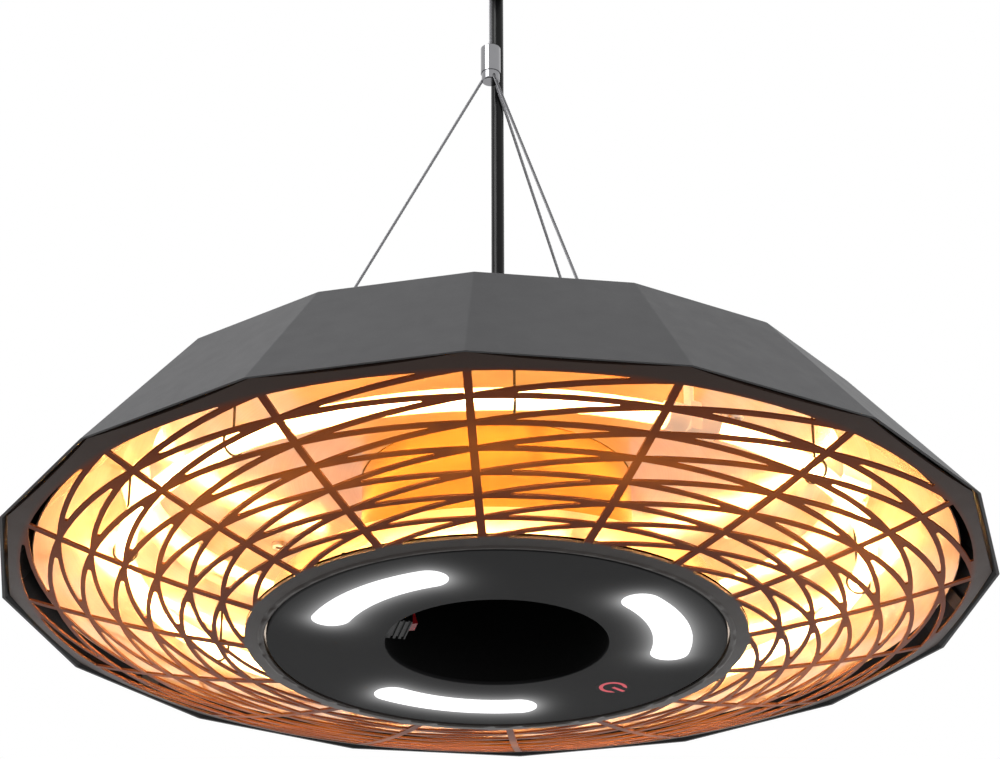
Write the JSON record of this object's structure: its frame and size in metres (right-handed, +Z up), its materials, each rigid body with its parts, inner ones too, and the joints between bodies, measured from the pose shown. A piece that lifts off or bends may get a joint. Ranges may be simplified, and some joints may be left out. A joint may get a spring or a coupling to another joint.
{
  "type": "infrared ceiling heater",
  "caption": "Pendant infrared heater: faceted housing, domed slit grille, ring lamps, lit hub with a switch recess, hung on steel wires from a ceiling canopy.",
  "frame": {"origin": "on the ceiling, straight above the heater's axis, at the middle of the bracket's upper face", "axes": "+Z up, the heater hangs along -Z; -Y is the side that the picture shows nearest; one corner of the housing points to -Y"},
  "size_m": [0.5398, 0.5398, 0.4823],
  "materials": {
    "dark_coat": "satin powder coat",
    "grille_coat": "satin powder coat",
    "zinc": "zinc plated",
    "wire_steel": "stranded steel",
    "bright_chrome": "polished",
    "black_rubber": "satin",
    "black_plastic": "fine grain",
    "red_plastic": "gloss",
    "gold_sheet": "brushed, gold anodised",
    "mirror_sheet": "bright rolled",
    "quartz": "clear",
    "ceramic": "unglazed ceramic",
    "tungsten": "wound wire",
    "opal": "opal, satin",
    "board_green": "lacquered",
    "chip_yellow": "phosphor"
  },
  "bodies": {
    "ceiling_fitting": {"ceiling_bracket": "zinc", "ceiling_canopy": "dark_coat", "canopy_screws": "zinc", "cord_bush": "black_rubber", "anchor_stud": "zinc", "stud_cap": "bright_chrome"},
    "heater": {"wire_ball": "wire_steel", "main_wire": "wire_steel", "gripper_body": "bright_chrome", "leg_ferrule": "bright_chrome", "leg_wire_1": "wire_steel", "leg_wire_2": "wire_steel", "leg_wire_3": "wire_steel", "leg_terminals": "bright_chrome", "leg_anchors": "bright_chrome", "anchor_nuts": "zinc", "housing_shell": "dark_coat", "junction_box": "dark_coat", "box_screws": "zinc", "cable_gland": "black_plastic", "gland_nut": "black_plastic", "cord_boot": "black_rubber", "power_cord": "black_rubber", "board_pillars": "black_plastic", "control_board": "board_green", "relay": "black_plastic", "supply_module": "black_plastic", "terminal_block": "opal", "thermal_cutout": "zinc", "reflector": "mirror_sheet", "reflector_spacers": "zinc", "spacer_screws": "zinc", "reflector_screws": "zinc", "drum": "gold_sheet", "drum_screws": "zinc", "lamp_right": "quartz", "lamp_left": "quartz", "lamp_filaments": "tungsten", "lamp_ends": "ceramic", "lamp_clips": "zinc", "lamp_holders": "ceramic", "grille": "grille_coat", "grille_clips": "zinc", "hub_tray": "zinc", "hub_nuts": "zinc", "hub_panel": "black_plastic", "panel_screws": "zinc", "light_lenses": "opal", "light_board": "board_green", "light_board_screws": "zinc", "light_chips": "chip_yellow", "light_driver": "black_plastic", "key_symbol": "red_plastic", "touch_key": "black_plastic", "touch_board": "board_green", "recess_cup": "black_plastic", "switch_block": "black_plastic"},
    "release": {"release_nipple": "bright_chrome"},
    "rocker": {"switch_rocker": "red_plastic"}
  },
  "joints": [
    {"name": "heater_swing", "type": "hinge", "parent": "ceiling_fitting", "child": "heater", "pos_m": [-0.0029, 0, -0.0275], "axis": [1, 0, 0], "range_deg": [-8, 8]},
    {"name": "release_press", "type": "slide", "parent": "heater", "child": "release", "axis": [0, 0, 1], "range_m": [-0.002, 0], "stiffness_N_per_m": 800},
    {"name": "switch_rock", "type": "hinge", "parent": "heater", "child": "rocker", "pos_m": [-0.0454, -0.01216, -0.469], "axis": [0.2588, -0.9659, 0], "range_deg": [-16, 0]}
  ]
}
